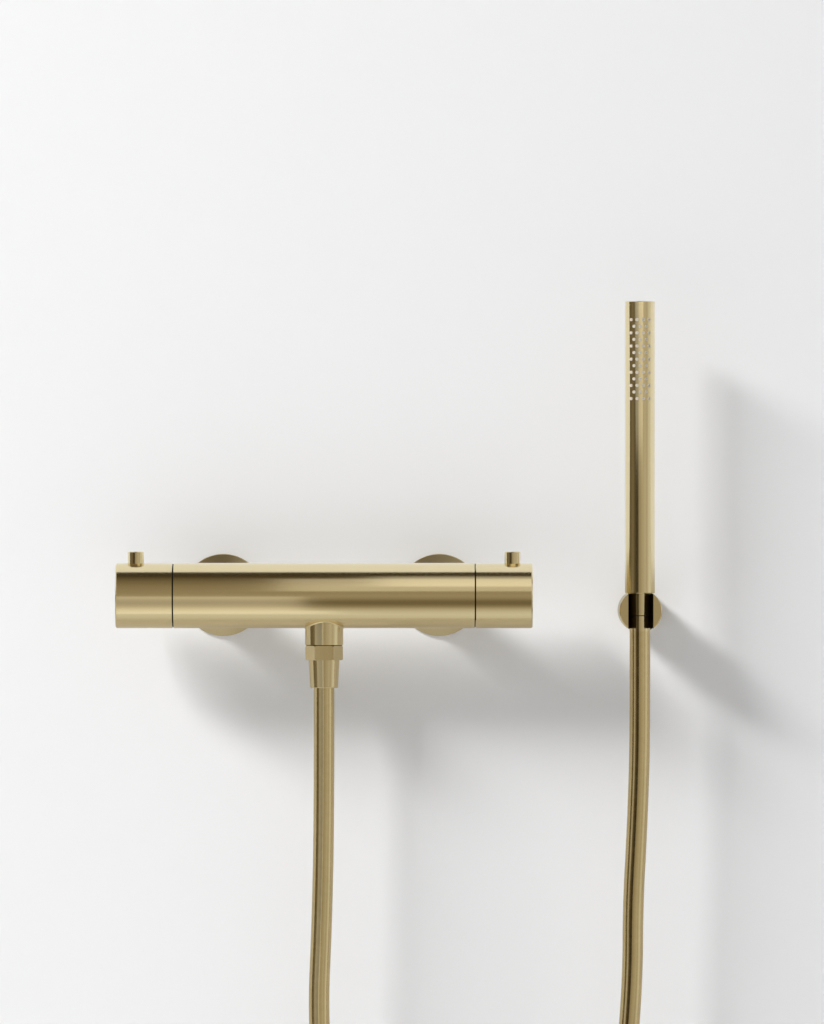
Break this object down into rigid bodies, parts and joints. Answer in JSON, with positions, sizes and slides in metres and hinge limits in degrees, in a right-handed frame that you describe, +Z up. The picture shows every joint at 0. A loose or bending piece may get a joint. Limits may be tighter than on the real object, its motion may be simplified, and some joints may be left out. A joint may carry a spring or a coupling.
{
  "type": "thermostatic shower mixer",
  "caption": "Wall-mounted bar-shaped thermostatic shower mixer with end handles, pins, a smooth hanging hose and a slim stick handset in a round wall holder.",
  "frame": {"origin": "on the wall plane, midway between the two wall inlets", "axes": "+Y into the wall, +X to the right for someone who faces the wall, +Z up"},
  "size_m": [0.3766, 0.1207, 0.7958],
  "materials": {
    "satin_brass": "satin, coated",
    "bare_brass": "machined",
    "steel": "plain",
    "black_plastic": "moulded",
    "white_plastic": "moulded",
    "ceramic": "lapped",
    "seal_rubber": "smooth",
    "silicone": "matt",
    "hose_skin": "smooth, metal look"
  },
  "bodies": {
    "root": {"mixer_body": "satin_brass", "outlet_nipple": "satin_brass", "hot_union": "satin_brass", "cold_union": "satin_brass", "hot_rosette": "satin_brass", "cold_rosette": "satin_brass", "hot_union_nut": "satin_brass", "cold_union_nut": "satin_brass", "hot_inlet_nipple": "satin_brass", "cold_inlet_nipple": "satin_brass", "hose_nut": "satin_brass", "hose_ferrule": "satin_brass", "holder_body": "satin_brass", "cartridge_nut": "bare_brass", "shutoff_nut": "bare_brass", "shutoff_housing": "bare_brass", "hose_tail": "bare_brass", "holder_wall_screw": "steel", "holder_set_screw": "steel", "return_spring": "steel", "check_springs": "steel", "holder_plate": "steel", "cartridge_housing": "black_plastic", "temperature_stop_ring": "black_plastic", "flow_stop_ring": "black_plastic", "hot_check_cage": "white_plastic", "cold_check_cage": "white_plastic", "fixed_disc": "ceramic", "cartridge_seals": "seal_rubber", "shutoff_seal": "seal_rubber", "inlet_washers": "seal_rubber", "outlet_washer": "seal_rubber", "shower_hose": "hose_skin"},
    "temperature": {"temperature_handle": "satin_brass", "temperature_insert": "bare_brass", "temperature_spindle": "bare_brass", "temperature_set_screw": "steel", "safety_catch": "steel"},
    "button": {"safety_button": "satin_brass"},
    "regulator": {"adjusting_nut": "bare_brass", "wax_element": "bare_brass", "regulating_shuttle": "black_plastic"},
    "flow": {"flow_handle": "satin_brass", "flow_pin": "satin_brass", "flow_insert": "bare_brass", "flow_spindle": "bare_brass", "rotor_disc": "ceramic", "flow_set_screw": "steel"},
    "hot_check": {"hot_check_poppet": "white_plastic"},
    "cold_check": {"cold_check_poppet": "white_plastic"},
    "hose_end": {"cone_nut": "satin_brass", "cone_washer": "seal_rubber", "hose_end_tail": "satin_brass"},
    "handset": {"handset_tube": "satin_brass", "handset_cap": "satin_brass", "handset_connector": "bare_brass", "handset_core": "white_plastic", "spray_nozzles": "silicone"}
  },
  "joints": [
    {"name": "temperature_turn", "type": "hinge", "parent": "root", "child": "temperature", "pos_m": [0.09925, -0.062, 0], "axis": [1, 0, 0], "range_deg": [-50, 150]},
    {"name": "button_press", "type": "slide", "parent": "temperature", "child": "button", "axis": [0, 0, -1], "range_m": [0, 0.002], "stiffness_N_per_m": 1500, "springref_m": -0.001, "deforming": ["safety_catch"]},
    {"name": "regulator_slide", "type": "slide", "parent": "root", "child": "regulator", "axis": [1, 0, 0], "range_m": [-0.0006, 0.0017], "deforming": ["return_spring"]},
    {"name": "flow_turn", "type": "hinge", "parent": "root", "child": "flow", "pos_m": [-0.10825, -0.062, 0], "axis": [1, 0, 0], "range_deg": [0, 90]},
    {"name": "hot_check_open", "type": "slide", "parent": "root", "child": "hot_check", "axis": [0, -1, 0], "range_m": [0, 0.0025], "stiffness_N_per_m": 150, "springref_m": -0.001, "deforming": ["check_springs"]},
    {"name": "cold_check_open", "type": "slide", "parent": "root", "child": "cold_check", "axis": [0, -1, 0], "range_m": [0, 0.0025], "stiffness_N_per_m": 150, "springref_m": -0.001},
    {"name": "handset_lift", "type": "slide", "parent": "root", "child": "hose_end", "axis": [0, 0, 1], "range_m": [0, 0.035]},
    {"name": "handset_turn", "type": "hinge", "parent": "hose_end", "child": "handset", "pos_m": [0.2133, -0.062, 0.0016], "axis": [0, 0, 1], "continuous": true}
  ],
  "couplings": [
    {"joint": "regulator_slide", "follows": "temperature_turn", "m_per_rad": 0.00063662}
  ]
}
